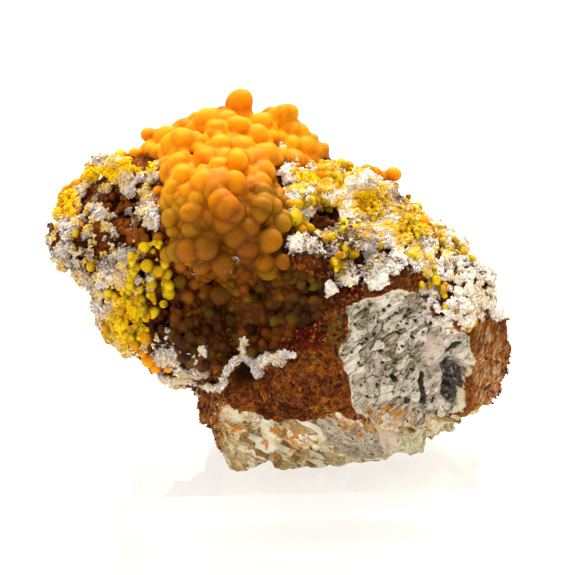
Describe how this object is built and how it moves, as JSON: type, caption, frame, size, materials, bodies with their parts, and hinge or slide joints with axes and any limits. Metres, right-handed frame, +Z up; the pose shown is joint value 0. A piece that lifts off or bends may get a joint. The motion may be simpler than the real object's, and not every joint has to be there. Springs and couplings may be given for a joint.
{
  "type": "mimetite mineral specimen on a clear display base",
  "caption": "Orange botryoidal mimetite with white druse on a rusty limonite rock, resting on a clear square display base.",
  "frame": {"origin": "centre of the display base's underside", "axes": "+Z up, -Y towards the specimen's show side, +X to its right"},
  "size_m": [0.0624, 0.0534, 0.0579],
  "materials": {
    "clear_acrylic": "polished",
    "limonite_rock": "matte",
    "mimetite": "satin",
    "white_druse": "satin"
  },
  "bodies": {
    "root": {"clear_base": "clear_acrylic", "matrix": "limonite_rock", "mimetite_crown": "mimetite", "mimetite_vug_lining": "mimetite", "mimetite_top_left_rim": "mimetite", "mimetite_left_rim": "mimetite", "mimetite_lower_left": "mimetite", "mimetite_lip": "mimetite", "mimetite_ridge": "mimetite", "mimetite_upper_flank": "mimetite", "mimetite_middle_flank": "mimetite", "mimetite_right_shoulder": "mimetite", "mimetite_inner_flank": "mimetite", "mimetite_lower_flank": "mimetite", "mimetite_back_patch": "mimetite", "druse_left_lobe": "white_druse", "druse_right_flank": "white_druse", "druse_lower_lip": "white_druse"}
  },
  "joints": []
}
